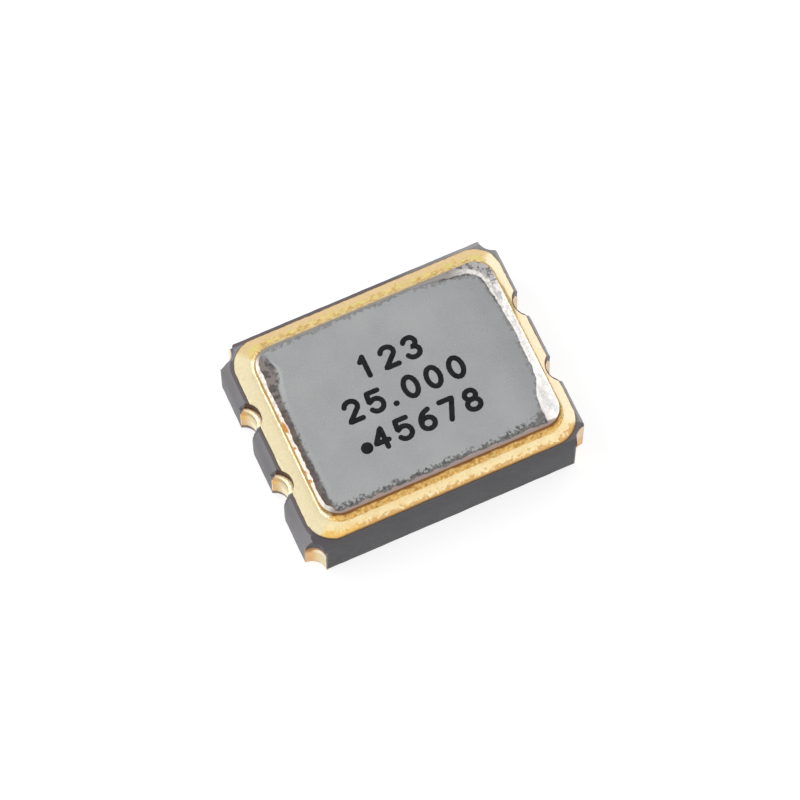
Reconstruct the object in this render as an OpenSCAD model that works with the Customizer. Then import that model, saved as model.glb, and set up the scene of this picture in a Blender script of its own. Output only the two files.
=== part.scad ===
// Surface-mount crystal oscillator in a 3.2 x 2.5 mm ceramic package.
// +X runs along the long side, +Z is up, and Z = 0 is the plane of the solder pads.
// The marking on the lid reads from the -Y side, and terminal 1 is at the -X -Y corner.

/* [Ceramic body] */
// Length of the ceramic body
body_l = 3.2; // [3.1:0.05:3.4]
// Width of the ceramic body
body_w = 2.5; // [2.45:0.05:2.7]
// Thickness of the closed bottom layer
floor_t = 0.16; // [0.12:0.01:0.24]
// Thickness of the layer with the die pocket
pocket_t = 0.13; // [0.1:0.01:0.2]
// Thickness of the layer between bond shelf and crystal shelf
wire_layer_t = 0.21; // [0.18:0.01:0.3]
// Thickness of the top frame layer
frame_t = 0.15; // [0.13:0.01:0.2]
// Thickness of the ceramic wall at the short ends of the cavity
end_wall = 0.4; // [0.38:0.01:0.46]
// Thickness of the ceramic wall along the long sides of the cavity
side_wall = 0.405; // [0.39:0.005:0.46]
// Corner radius of the cavity
cavity_r = 0.12; // [0.06:0.01:0.2]
// Width of the snapped bevel on the upper outer edges
bevel_w = 0.035; // [0.01:0.005:0.035]
// Height of the snapped bevel on the upper outer edges
bevel_h = 0.1; // [0.03:0.01:0.12]
// How far the notches and seal band of the top layer are off register along the body
top_shift_l = 0.025; // [-0.03:0.005:0.03]
// How far the notches and seal band of the top layer are off register across the body
top_shift_w = -0.01; // [-0.02:0.005:0.02]

/* [Castellations] */
// Distance between the two notches of a short side
notch_pitch = 0.81; // [0.7:0.01:0.9]
// Radius of a side notch at its plated wall
notch_r = 0.157; // [0.13:0.001:0.17]
// Distance of a side notch's centre outside the short side
notch_out = 0.045; // [0.02:0.005:0.07]
// Height of the bare ceramic below the plating of a side notch
notch_bare = 0.06; // [0.03:0.01:0.12]
// Radius of a corner notch at its plated wall
corner_r = 0.17; // [0.14:0.005:0.18]
// How far the top layer steps back around a side notch
notch_step = 0.03; // [0.03:0.001:0.055]
// How far the top layer reaches over a corner notch
corner_lip = 0.035; // [0.02:0.005:0.05]

/* [Plating and solder pads] */
// Thickness of the plated metal layers
plate_t = 0.015; // [0.01:0.001:0.02]
// Length of a solder pad along the body
pad_l = 0.85; // [0.7:0.05:1]
// Width of a solder pad across the body
pad_w = 0.6; // [0.45:0.05:0.6]
// Distance of a solder pad from the body's sides
pad_inset = 0.05; // [0.02:0.01:0.08]
// Chamfer on the inner corner of pad 1
pad_chamfer = 0.2; // [0.1:0.05:0.3]

/* [Seal and lid] */
// Thickness of the gold-plated seal band
band_t = 0.02; // [0.015:0.005:0.03]
// Distance of the seal band from the short sides
band_inset_end = 0.08; // [0.06:0.005:0.09]
// Distance of the seal band from the long sides
band_inset_side = 0.055; // [0.04:0.005:0.07]
// Outer corner radius of the seal band
band_r = 0.3; // [0.28:0.01:0.36]
// Distance of the seal band from the edge of the cavity
band_gap = 0.03; // [0.01:0.005:0.05]
// Thickness of the braze between band and lid
braze_t = 0.015; // [0.01:0.001:0.025]
// How far the braze bead runs out past the short sides of the lid
braze_out_end = 0.03; // [0.01:0.005:0.04]
// How far the braze bead runs out past the long sides of the lid
braze_out_side = 0.065; // [0.02:0.005:0.08]
// How far the lid overlaps the frame around the cavity
lid_land = 0.16; // [0.13:0.005:0.17]
// Thickness of the lid
lid_t = 0.1; // [0.07:0.01:0.15]
// Corner radius of the lid
lid_r = 0.22; // [0.18:0.01:0.28]
// Width of the welded bevel around the lid
weld_w = 0.06; // [0.03:0.01:0.1]
// Drop of the welded bevel around the lid
weld_h = 0.03; // [0.01:0.005:0.04]
// How far the lid sits off centre along the body
lid_shift_l = 0.065; // [-0.07:0.005:0.07]
// How far the lid sits off centre across the body
lid_shift_w = 0.005; // [-0.03:0.005:0.03]

/* [Lid marking] */
// Height of the marked digits
digit_h = 0.28; // [0.2:0.01:0.3]
// Width of the marked digits
digit_w = 0.2; // [0.15:0.01:0.21]
// Width of a marked stroke
stroke_w = 0.058; // [0.03:0.002:0.06]
// Distance between digits of one line
digit_pitch = 0.26; // [0.25:0.005:0.28]
// Distance between the lines of digits
line_pitch = 0.4; // [0.35:0.005:0.42]
// How far the marking sits off the middle of the lid, across the body
mark_shift = -0.03; // [-0.06:0.01:0.06]
// How far the marking sits off the middle of the lid, along the body
mark_shift_l = -0.045; // [-0.06:0.005:0.06]
// Radius of the pin 1 dot
dot_r = 0.065; // [0.04:0.005:0.07]
// Thickness of the marking
mark_t = 0.004; // [0.002:0.001:0.01]

/* [Die and bond wires] */
// Length of the oscillator die
die_l = 1; // [0.9:0.05:1.1]
// Width of the oscillator die
die_w = 0.7; // [0.6:0.05:0.75]
// Thickness of the oscillator die
die_t = 0.12; // [0.1:0.01:0.14]
// Thickness of the die attach film
attach_t = 0.015; // [0.01:0.005:0.02]
// Gap between the die and the wall of its pocket
die_gap = 0.1; // [0.08:0.01:0.12]
// Width of the bond shelf beside the pocket
bond_shelf = 0.27; // [0.24:0.01:0.28]
// Side of a square die contact
contact_w = 0.08; // [0.06:0.01:0.1]
// Thickness of a die contact
contact_t = 0.003; // [0.002:0.001:0.006]
// Distance of the die contacts from the edge of the die
contact_inset = 0.06; // [0.05:0.005:0.1]
// Distance between neighbouring die contacts, and between the bond fingers facing them
contact_pitch = 0.34; // [0.26:0.01:0.38]
// Length of a bond finger along the shelf
finger_l = 0.18; // [0.12:0.01:0.22]
// Width of a bond finger across the shelf
finger_w = 0.19; // [0.14:0.01:0.22]
// Diameter of the gold bond wire
wire_d = 0.025; // [0.018:0.001:0.03]
// Diameter of the ball at the die end of a wire
ball_d = 0.06; // [0.045:0.005:0.07]
// Thickness of the ball at the die end of a wire
ball_t = 0.015; // [0.01:0.001:0.02]
// Height of a wire's straight neck above its ball
neck_h = 0.03; // [0.02:0.005:0.04]
// Bend radius of a wire above its neck
bend_r = 0.04; // [0.03:0.005:0.05]

/* [Quartz crystal] */
// Thickness of the quartz blank, 1.66 mm divided by the frequency in MHz
blank_t = 0.066; // [0.04:0.001:0.07]
// Gap between the held end of the blank and the cavity wall
held_gap = 0.12; // [0.1:0.01:0.14]
// Gap between the free end of the blank and the cavity wall
free_gap = 0.1; // [0.08:0.01:0.12]
// Gap between the long edges of the blank and the cavity wall
edge_gap = 0.13; // [0.1:0.01:0.16]
// Width of the shelf that carries the held end
held_shelf = 0.4; // [0.36:0.01:0.44]
// Width of the shelf below the free end
free_shelf = 0.28; // [0.26:0.01:0.32]
// Distance between the two crystal mounting pads
mount_pitch = 0.84; // [0.7:0.01:0.9]
// Width of a crystal mounting pad across the body
mount_w = 0.34; // [0.28:0.01:0.4]
// Distance of a crystal mounting pad from the edges of its shelf
mount_inset = 0.05; // [0.04:0.01:0.06]
// Radius of a conductive adhesive dot
glue_r = 0.12; // [0.1:0.01:0.14]
// Height of a conductive adhesive dot
glue_t = 0.035; // [0.03:0.005:0.05]
// Gap between the free end of the blank and the bump below it
bump_gap = 0.015; // [0.01:0.001:0.02]
// Width of the bump below the free end, along the body
bump_l = 0.12; // [0.08:0.01:0.16]
// Length of the bump below the free end, across the body
bump_w = 0.8; // [0.5:0.05:1]
// Thickness of the electrodes
electrode_t = 0.003; // [0.002:0.001:0.005]
// Length of the round-cornered electrode field
electrode_l = 1.1; // [0.8:0.05:1.3]
// Width of the electrode field
electrode_w = 0.96; // [0.9:0.02:1.1]
// Width of the lead from an electrode to its adhesive dot
lead_w = 0.24; // [0.18:0.01:0.28]
// Length of the contact that a lead makes above its adhesive dot
lead_tail = 0.22; // [0.18:0.01:0.26]

/* [Hidden] */

// Overlap that lets one cut run cleanly through another
cut = 0.1;
// Facets of small round corners
corner_fn = 32;
// Facets of the round notches, wires and dots
round_fn = 48;

// Heights of the layer boundaries
base_z = plate_t;
pocket_z = base_z + floor_t;
bond_z = pocket_z + pocket_t;
shelf_z = bond_z + wire_layer_t;
top_z = shelf_z + frame_t;
band_z = top_z + band_t;
lid_z = band_z + braze_t;
lid_top = lid_z + lid_t;

// Cavity in the top frame, with its shelves at both ends
cavity_l = body_l - 2 * end_wall;
cavity_w = body_w - 2 * side_wall;
opening_l = cavity_l - held_shelf - free_shelf;
opening_x = (held_shelf - free_shelf) / 2;
pocket_l = die_l + 2 * die_gap;
pocket_w = die_w + 2 * die_gap;
opening_w = pocket_w + 2 * bond_shelf;

// Notches, measured to the ceramic behind the plating
notch_wall_r = notch_r + plate_t;
notch_top_r = notch_r + notch_step;
corner_wall_r = corner_r + plate_t;
corner_top_r = corner_r - corner_lip;
notch_x = body_l / 2 + notch_out;

// Seal band and lid outlines
band_l = body_l - 2 * band_inset_end;
band_w = body_w - 2 * band_inset_side;
lid_l = cavity_l + 2 * lid_land;
lid_w = cavity_w + 2 * lid_land;

// Die, its contacts and the fingers beside it
die_z = pocket_z + plate_t + attach_t;
die_top = die_z + die_t;
contact_y = die_w / 2 - contact_inset;
contact_top = die_top + contact_t;
finger_y = (pocket_w + bond_shelf) / 2;
finger_top = bond_z + plate_t;
wedge_l = 2 * wire_d;

// Quartz blank and what carries it
blank_x0 = -cavity_l / 2 + held_gap;
blank_l = cavity_l - held_gap - free_gap;
blank_w = cavity_w - 2 * edge_gap;
blank_x = blank_x0 + blank_l / 2;
mount_x = -cavity_l / 2 + held_shelf / 2;
mount_l = held_shelf - 2 * mount_inset;
glue_z = shelf_z + plate_t;
blank_z = glue_z + glue_t + electrode_t;
bump_x = cavity_l / 2 - free_gap - bump_l;
bump_t = blank_z - bump_gap - shelf_z;

// Lines of plain digits from the top line down, with POINT as a decimal point and DOT as the pin 1 dot
POINT = -1;
DOT = -2;
MARK_LINES = [[1, 2, 3], [2, 5, POINT, 0, 0, 0], [DOT, 4, 5, 6, 7, 8]];
// Width of a decimal point or dot, as a share of a digit's pitch
point_share = 0.55;
// Height of the dot's centre, as a share of a digit's height
dot_rise = 0.36;

module rounded_rect(l, w, r) {
    square([l - 2 * r, w], center = true);
    square([l, w - 2 * r], center = true);
    for (x = [-1, 1], y = [-1, 1])
        translate([x * (l / 2 - r), y * (w / 2 - r)])
            circle(r = r, $fn = corner_fn);
}

module slab(l, w, h, r) {
    linear_extrude(height = h)
        rounded_rect(l, w, r);
}

module box(l, w, h) {
    translate([-l / 2, -w / 2, 0])
        cube([l, w, h]);
}

// A bevel cut along one top edge of the body, repeated by mirrors
module edge_bevel(run, half) {
    rotate([90, 0, 0])
        translate([half, 0, -run / 2 - cut])
            linear_extrude(height = run + 2 * cut)
                polygon([[-bevel_w, cut], [-bevel_w, 0], [0, -bevel_h], [cut, -bevel_h], [cut, cut]]);
}

module edge_bevels() {
    translate([0, 0, top_z])
        for (turn = [0, 180]) {
            rotate([0, 0, turn])
                edge_bevel(body_w, body_l / 2);
            rotate([0, 0, turn + 90])
                edge_bevel(body_l, body_w / 2);
        }
}

module at_side_notches() {
    for (x = [-1, 1], y = [-1, 1])
        translate([x * notch_x, y * notch_pitch / 2, 0])
            children();
}

module at_corners() {
    for (x = [-1, 1], y = [-1, 1])
        translate([x * body_l / 2, y * body_w / 2, 0])
            children();
}

// Places the cuts of the top layer, which are a little off register
module at_top_shift() {
    translate([top_shift_l, top_shift_w, 0])
        children();
}

// Outer form of the body from height z up, before its notches and cavity are cut
module envelope(z) {
    difference() {
        translate([0, 0, z])
            box(body_l, body_w, top_z - z);
        edge_bevels();
    }
}

module ceramic_base() {
    color("#6d6a70")
        difference() {
            envelope(base_z);
            at_side_notches()
                cylinder(r = notch_wall_r, h = shelf_z, $fn = round_fn);
            at_corners()
                cylinder(r = corner_wall_r, h = shelf_z, $fn = round_fn);
            translate([0, 0, shelf_z])
                at_top_shift() {
                    at_side_notches()
                        cylinder(r = notch_top_r, h = frame_t + cut, $fn = round_fn);
                    at_corners()
                        cylinder(r = corner_top_r, h = frame_t + cut, $fn = round_fn);
                }
            translate([0, 0, shelf_z])
                slab(cavity_l, cavity_w, frame_t + cut, cavity_r);
            translate([opening_x, 0, bond_z])
                slab(opening_l, opening_w, wire_layer_t + cut, cavity_r);
            translate([opening_x, 0, pocket_z])
                slab(pocket_l, pocket_w, pocket_t + cut, cavity_r);
        }
}

// Metal that lines a round notch from height z up to the top layer
module notch_lining(r, z) {
    difference() {
        translate([0, 0, z])
            cylinder(r = r + plate_t, h = shelf_z - z, $fn = round_fn);
        translate([0, 0, z - cut])
            cylinder(r = r, h = shelf_z + 2 * cut, $fn = round_fn);
    }
}

// Metal on the ledge that the wider and shifted notch of the top layer leaves bare
module ledge_crescent() {
    translate([0, 0, shelf_z])
        difference() {
            translate([top_shift_l, top_shift_w, 0])
                cylinder(r = notch_top_r, h = plate_t, $fn = round_fn);
            translate([0, 0, -cut])
                cylinder(r = notch_r, h = plate_t + 2 * cut, $fn = round_fn);
        }
}

// Solder pad outline in the +X +Y corner of the body, with its inner corner cut if asked
module pad_outline(chamfer) {
    x1 = body_l / 2 - pad_inset;
    y1 = body_w / 2 - pad_inset;
    x0 = x1 - pad_l;
    y0 = y1 - pad_w;
    polygon([[x0 + chamfer, y0], [x1, y0], [x1, y1], [x0, y1], [x0, y0 + chamfer]]);
}

module terminal(sx, sy, chamfer) {
    color("#d9b25c")
        mirror([sx < 0 ? 1 : 0, 0, 0])
            mirror([0, sy < 0 ? 1 : 0, 0])
                union() {
                    difference() {
                        linear_extrude(height = plate_t)
                            pad_outline(chamfer);
                        translate([body_l / 2, body_w / 2, -cut])
                            cylinder(r = corner_r, h = plate_t + 2 * cut, $fn = round_fn);
                    }
                    intersection() {
                        translate([body_l / 2, body_w / 2, 0])
                            notch_lining(corner_r, 0);
                        envelope(0);
                    }
                }
}

module test_contact(sx, sy) {
    color("#e0ba66")
        intersection() {
            translate([sx * notch_x, sy * notch_pitch / 2, 0]) {
                notch_lining(notch_r, base_z + notch_bare);
                ledge_crescent();
            }
            envelope(base_z);
        }
}

module terminal_1() {
    terminal(-1, -1, pad_chamfer);
}

module terminal_2() {
    terminal(1, -1, 0);
}

module terminal_3() {
    terminal(1, 1, 0);
}

module terminal_4() {
    terminal(-1, 1, 0);
}

module test_contact_1() {
    test_contact(-1, -1);
}

module test_contact_2() {
    test_contact(1, -1);
}

module test_contact_3() {
    test_contact(1, 1);
}

module test_contact_4() {
    test_contact(-1, 1);
}

module seal_band() {
    color("#efdb9c")
        translate([0, 0, top_z])
            difference() {
                at_top_shift()
                    slab(band_l, band_w, band_t, band_r);
                translate([0, 0, -cut])
                    slab(cavity_l + 2 * band_gap, cavity_w + 2 * band_gap, band_t + 2 * cut, cavity_r);
                translate([0, 0, -cut])
                    at_top_shift() {
                        at_side_notches()
                            cylinder(r = notch_top_r, h = band_t + 2 * cut, $fn = round_fn);
                        at_corners()
                            cylinder(r = corner_top_r, h = band_t + 2 * cut, $fn = round_fn);
                    }
            }
}

module seal_braze() {
    color("#c98f3c")
        translate([0, 0, band_z])
            difference() {
                translate([lid_shift_l, lid_shift_w, 0])
                    slab(lid_l + 2 * braze_out_end, lid_w + 2 * braze_out_side, braze_t, lid_r + braze_out_end);
                translate([0, 0, -cut])
                    slab(cavity_l + 2 * band_gap, cavity_w + 2 * band_gap, braze_t + 2 * cut, cavity_r);
                translate([0, 0, -cut])
                    at_top_shift()
                        at_side_notches()
                            cylinder(r = notch_top_r, h = braze_t + 2 * cut, $fn = round_fn);
            }
}

module lid() {
    color("#a6a9ab")
        translate([lid_shift_l, lid_shift_w, lid_z])
            union() {
                slab(lid_l, lid_w, lid_t - weld_h, lid_r);
                hull() {
                    translate([0, 0, lid_t - weld_h])
                        slab(lid_l, lid_w, weld_h / 100, lid_r);
                    slab(lid_l - 2 * weld_w, lid_w - 2 * weld_w, lid_t, lid_r - weld_w);
                }
            }
}

// A straight marked stroke between two points
module bar(x0, y0, x1, y1) {
    run = norm([x1 - x0, y1 - y0]);
    translate([x0, y0])
        rotate(atan2(y1 - y0, x1 - x0))
            translate([-stroke_w / 2, -stroke_w / 2])
                square([run + stroke_w, stroke_w]);
}

// A marked stroke along part of an ellipse, from angle a0 to a1
module arc(cx, cy, rx, ry, a0, a1) {
    steps = 14;
    half = stroke_w / 2;
    outer = [for (i = [0 : steps]) let (a = a0 + (a1 - a0) * i / steps)
        [cx + (rx + half) * cos(a), cy + (ry + half) * sin(a)]];
    inner = [for (i = [steps : -1 : 0]) let (a = a0 + (a1 - a0) * i / steps)
        [cx + (rx - half) * cos(a), cy + (ry - half) * sin(a)]];
    polygon(concat(outer, inner));
}

module ring(cx, cy, rx, ry) {
    arc(cx, cy, rx, ry, 0, 180);
    arc(cx, cy, rx, ry, 180, 360);
}

// One mark in a box whose lower left corner is the origin
module mark(n) {
    half = stroke_w / 2;
    left = half;
    right = digit_w - half;
    low = half;
    high = digit_h - half;
    mid_x = digit_w / 2;
    mid_y = digit_h / 2;
    rx = (right - left) / 2;
    ry = (high - low) / 4;
    if (n == POINT)
        square(stroke_w);
    if (n == DOT)
        translate([dot_r, dot_rise * digit_h])
            circle(r = dot_r, $fn = corner_fn);
    if (n == 0)
        ring(mid_x, mid_y, rx, 2 * ry);
    if (n == 1) {
        bar(mid_x, low, mid_x, high);
        bar(left + half, high - ry, mid_x, high);
    }
    if (n == 2) {
        arc(mid_x, high - ry, rx, ry, -20, 170);
        bar(left, low, right - half, mid_y + half);
        bar(left, low, right, low);
    }
    if (n == 3) {
        arc(mid_x, high - ry, rx, ry, -90, 160);
        arc(mid_x, low + ry, rx, ry, -160, 90);
    }
    if (n == 4) {
        bar(right - half, low, right - half, high);
        bar(left, mid_y - half, right - half, high);
        bar(left, mid_y - half, right, mid_y - half);
    }
    if (n == 5) {
        arc(mid_x, low + ry, rx, ry, -160, 130);
        bar(left, mid_y, left, high);
        bar(left, high, right, high);
    }
    if (n == 6) {
        ring(mid_x, low + ry, rx, ry);
        arc(right, low + ry, 2 * rx, 3 * ry, 95, 180);
    }
    if (n == 7) {
        bar(left, high, right, high);
        bar(mid_x - half, low, right, high);
    }
    if (n == 8) {
        ring(mid_x, high - ry, rx * 0.9, ry);
        ring(mid_x, low + ry, rx, ry);
    }
}

function char_step(n) = n < 0 ? digit_pitch * point_share : digit_pitch;
function line_x(chars, count) = count == 0 ? 0 : line_x(chars, count - 1) + char_step(chars[count - 1]);

module digit_line(chars) {
    last = len(chars) - 1;
    run = line_x(chars, last) + digit_w;
    for (i = [0 : last])
        translate([line_x(chars, i) - run / 2, 0])
            mark(chars[i]);
}

module lid_marking() {
    color("#1d1f22")
        translate([lid_shift_l + mark_shift_l, lid_shift_w + mark_shift, lid_top])
            linear_extrude(height = mark_t)
                for (row = [0 : 2])
                    translate([0, (1 - row) * line_pitch - digit_h / 2])
                        digit_line(MARK_LINES[row]);
}

module die_pad() {
    color("#d8b768")
        translate([opening_x, 0, pocket_z])
            box(die_l + die_gap, die_w + die_gap, plate_t);
}

module die_attach() {
    color("#8f8f93")
        translate([opening_x, 0, pocket_z + plate_t])
            box(die_l + die_gap / 2, die_w + die_gap / 2, attach_t);
}

module oscillator_die() {
    color("#4d5866")
        translate([opening_x, 0, die_z])
            box(die_l, die_w, die_t);
}

module at_each_contact(y) {
    for (i = [-1 : 1], side = [-1, 1])
        translate([opening_x + i * contact_pitch, side * y, 0])
            children();
}

module die_contacts() {
    color("#c9ccd0")
        translate([0, 0, die_top])
            at_each_contact(contact_y)
                box(contact_w, contact_w, contact_t);
}

module bond_fingers() {
    color("#e3c176")
        translate([0, 0, bond_z])
            at_each_contact(finger_y)
                box(finger_l, finger_w, plate_t);
}

// A wire rises from its ball, bends over and runs straight down to its wedge on the finger.
// run is the level distance from ball to wedge, and drop is how far the wedge lies below the ball's foot.
module wire_shape(run, drop) {
    neck_z = ball_t + neck_h;
    fall = neck_z + drop - wire_d / 2;
    reach = norm([run - bend_r, fall]);
    slope = asin(bend_r / reach) + atan2(fall, run - bend_r);
    straight = sqrt(reach * reach - bend_r * bend_r);
    rotate_extrude($fn = round_fn)
        polygon([[0, 0], [ball_d / 2, 0], [ball_d / 2, ball_t], [wire_d / 2, ball_t], [wire_d / 2, neck_z], [0, neck_z]]);
    translate([bend_r, 0, neck_z])
        rotate([90, 0, 0])
            rotate([0, 0, 90 - slope])
                rotate_extrude(angle = 90 + slope, $fn = round_fn)
                    translate([bend_r, 0])
                        circle(d = wire_d, $fn = round_fn);
    translate([run, 0, wire_d / 2 - drop])
        rotate([0, slope - 90, 0])
            cylinder(d = wire_d, h = straight, $fn = round_fn);
    translate([run - wedge_l / 2, -wire_d / 2, -drop])
        cube([wedge_l, wire_d, wire_d / 2]);
}

module bond_wire(i, side) {
    color("#f0c75e")
        translate([opening_x + i * contact_pitch, side * contact_y, contact_top])
            rotate([0, 0, side * 90])
                wire_shape(finger_y - contact_y, contact_top - finger_top);
}

module bond_wire_1() {
    bond_wire(-1, -1);
}

module bond_wire_2() {
    bond_wire(0, -1);
}

module bond_wire_3() {
    bond_wire(1, -1);
}

module bond_wire_4() {
    bond_wire(1, 1);
}

module bond_wire_5() {
    bond_wire(0, 1);
}

module bond_wire_6() {
    bond_wire(-1, 1);
}

module crystal_pad(side) {
    color("#e3c176")
        translate([mount_x, side * mount_pitch / 2, shelf_z])
            box(mount_l, mount_w, plate_t);
}

module crystal_pad_front() {
    crystal_pad(-1);
}

module crystal_pad_back() {
    crystal_pad(1);
}

module adhesive(side) {
    color("#b9bbbd")
        translate([mount_x, side * mount_pitch / 2, glue_z])
            cylinder(r = glue_r, h = glue_t, $fn = round_fn);
}

module adhesive_front() {
    adhesive(-1);
}

module adhesive_back() {
    adhesive(1);
}

module crystal_bump() {
    color("#77747a")
        translate([bump_x, 0, shelf_z])
            box(bump_l, bump_w, bump_t);
}

module quartz_blank() {
    color("#dfe6ea")
        translate([blank_x, 0, blank_z])
            box(blank_l, blank_w, blank_t);
}

// An electrode field with a lead to the held end of the blank
module electrode_sheet(side) {
    field_x0 = blank_x - electrode_l / 2;
    linear_extrude(height = electrode_t) {
        translate([blank_x, 0])
            rounded_rect(electrode_l, electrode_w, lead_w / 2);
        translate([blank_x0, side * mount_pitch / 2 - lead_w / 2])
            square([field_x0 + lead_w - blank_x0, lead_w]);
    }
}

module lower_electrode() {
    color("#d5d7d9")
        translate([0, 0, blank_z - electrode_t])
            electrode_sheet(-1);
}

// The upper lead folds over the held end and comes back below it
module upper_electrode() {
    color("#d5d7d9")
        union() {
            translate([0, 0, blank_z + blank_t])
                electrode_sheet(1);
            translate([blank_x0 - electrode_t, mount_pitch / 2 - lead_w / 2, blank_z - electrode_t])
                cube([electrode_t, lead_w, blank_t + 2 * electrode_t]);
            translate([blank_x0, mount_pitch / 2 - lead_w / 2, blank_z - electrode_t])
                cube([lead_tail, lead_w, electrode_t]);
        }
}

ceramic_base();
terminal_1();
terminal_2();
terminal_3();
terminal_4();
test_contact_1();
test_contact_2();
test_contact_3();
test_contact_4();
seal_band();
seal_braze();
lid();
lid_marking();
die_pad();
die_attach();
oscillator_die();
die_contacts();
bond_fingers();
bond_wire_1();
bond_wire_2();
bond_wire_3();
bond_wire_4();
bond_wire_5();
bond_wire_6();
crystal_pad_front();
crystal_pad_back();
adhesive_front();
adhesive_back();
crystal_bump();
quartz_blank();
lower_electrode();
upper_electrode();
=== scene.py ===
import math
import random

import bpy
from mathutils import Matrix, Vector


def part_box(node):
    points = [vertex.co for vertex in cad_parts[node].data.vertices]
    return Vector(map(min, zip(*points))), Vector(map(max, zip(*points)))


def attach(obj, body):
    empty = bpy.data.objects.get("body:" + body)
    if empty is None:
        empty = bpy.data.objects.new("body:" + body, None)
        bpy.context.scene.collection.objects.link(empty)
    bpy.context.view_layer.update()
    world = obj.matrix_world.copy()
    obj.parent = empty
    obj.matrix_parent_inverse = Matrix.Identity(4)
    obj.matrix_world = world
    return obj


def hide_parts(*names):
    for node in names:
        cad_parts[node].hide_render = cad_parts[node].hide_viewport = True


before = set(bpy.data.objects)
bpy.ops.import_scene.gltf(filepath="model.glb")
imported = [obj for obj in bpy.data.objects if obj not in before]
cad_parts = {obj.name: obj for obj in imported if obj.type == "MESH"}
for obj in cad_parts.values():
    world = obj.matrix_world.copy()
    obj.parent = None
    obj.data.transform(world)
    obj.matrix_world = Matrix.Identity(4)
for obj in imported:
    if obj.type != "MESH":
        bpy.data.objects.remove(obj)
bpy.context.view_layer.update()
print("frame loaded")

mm = 0.001  # pieces are shaped in millimetres and shrunk to metres when they are finished
random.seed(7)


def leaveEditing():
    if bpy.context.mode != "OBJECT":
        bpy.ops.object.mode_set(mode="OBJECT")
    bpy.ops.object.select_all(action="DESELECT")


def applyPlace():
    bpy.ops.object.transform_apply(location=True, rotation=True, scale=True)


def makeActive(piece):
    leaveEditing()
    piece.select_set(True)
    bpy.context.view_layer.objects.active = piece


def pick(piece, kind, test):
    # enters edit mode with only the faces, edges or corners selected that pass the test
    makeActive(piece)
    bpy.ops.object.mode_set(mode="EDIT")
    bpy.ops.mesh.select_mode(type=kind)
    bpy.ops.mesh.select_all(action="DESELECT")
    bpy.ops.object.mode_set(mode="OBJECT")
    mesh = piece.data
    if kind == "FACE":
        for face in mesh.polygons:
            face.select = test(face.center, face.normal)
    elif kind == "EDGE":
        for edge in mesh.edges:
            edge.select = test(*[mesh.vertices[i].co for i in edge.vertices])
    else:
        for corner in mesh.vertices:
            corner.select = test(corner.co)
    bpy.ops.object.mode_set(mode="EDIT")


def everyFace(centre, normal):
    return True


def movePicked(shift):
    bpy.ops.transform.translate(value=shift)


def topFace(centre, normal):
    return normal.z > 0.9


def longEdge(a, b):
    return (a - b).length > 1


def near(a, b, reach=0.0005):
    return abs(a - b) < reach


def cadBox(node):
    low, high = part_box(node)
    return low / mm, high / mm


def outlineOf(low, high, radius):
    # a round-cornered box from above, as the outline gauge below wants it
    return {"centreX": (low.x + high.x) / 2, "centreY": (low.y + high.y) / 2,
            "length": high.x - low.x, "width": high.y - low.y, "radius": radius}


def addBlock(name, low, high):
    leaveEditing()
    middle = [(a + b) / 2 for a, b in zip(low, high)]
    size = [b - a for a, b in zip(low, high)]
    bpy.ops.mesh.primitive_cube_add(size=1, location=middle, scale=size)
    piece = bpy.context.object
    piece.name = name
    applyPlace()
    return piece


def addRoundedBlock(name, centre, length, width, bottom, top, radius, steps=20):
    low = (centre[0] - length / 2, centre[1] - width / 2, bottom)
    high = (centre[0] + length / 2, centre[1] + width / 2, top)
    piece = addBlock(name, low, high)
    pick(piece, "EDGE", lambda a, b: near(a.x, b.x) and near(a.y, b.y))
    bpy.ops.mesh.bevel(offset=radius, segments=steps, affect="EDGES", profile=0.5)
    leaveEditing()
    return piece


def addPost(spot, radius, bottom, top, steps=128):
    # a round cutter
    leaveEditing()
    middle = (*spot, (bottom + top) / 2)
    bpy.ops.mesh.primitive_cylinder_add(vertices=steps, radius=radius, depth=top - bottom, location=middle)
    applyPlace()
    return bpy.context.object


def joinPieces(pieces):
    leaveEditing()
    for piece in pieces:
        piece.select_set(True)
    bpy.context.view_layer.objects.active = pieces[0]
    bpy.ops.object.join()
    return pieces[0]


def applyModifier(piece, kind, **settings):
    makeActive(piece)
    change = piece.modifiers.new(kind.lower(), kind)
    for name, value in settings.items():
        setattr(change, name, value)
    bpy.ops.object.modifier_apply(modifier=change.name)


def combine(piece, other, operation="DIFFERENCE"):
    applyModifier(piece, "BOOLEAN", operation=operation, object=other, solver="EXACT")
    bpy.data.objects.remove(other)


def roughen(piece, clouds, direction, wander, corners=""):
    # moves the corners of a group along a direction, by up to the wander in millimetres
    applyModifier(piece, "DISPLACE", texture=clouds, direction=direction, strength=wander * 2,
                  vertex_group=corners, mid_level=0.5)


def groupCorners(piece, name, test):
    group = piece.vertex_groups.new(name=name)
    group.add([corner.index for corner in piece.data.vertices if test(corner.co)], 1.0, "REPLACE")


def addNoise(name, size, detail=2):
    # a cloud pattern with its feature size in millimetres
    clouds = bpy.data.textures.new(name, "CLOUDS")
    clouds.noise_scale = size
    clouds.noise_depth = detail
    return clouds


def cleanMesh(piece, reach=0.00005):
    makeActive(piece)
    bpy.ops.object.mode_set(mode="EDIT")
    bpy.ops.mesh.select_all(action="SELECT")
    bpy.ops.mesh.remove_doubles(threshold=reach)
    bpy.ops.mesh.normals_make_consistent(inside=False)
    leaveEditing()


def wear(piece, material):
    piece.data.materials.clear()
    piece.data.materials.append(material)


def finishPiece(piece, material, node, smooth=35):
    makeActive(piece)
    bpy.ops.object.shade_smooth_by_angle(angle=math.radians(smooth))
    piece.scale = (mm, mm, mm)
    applyPlace()
    wear(piece, material)
    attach(piece, "root")
    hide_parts(node)
    print("finished", piece.name, len(piece.data.polygons), "faces")


current = {}  # the node tree, shader and tones that the helpers below work with


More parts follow.
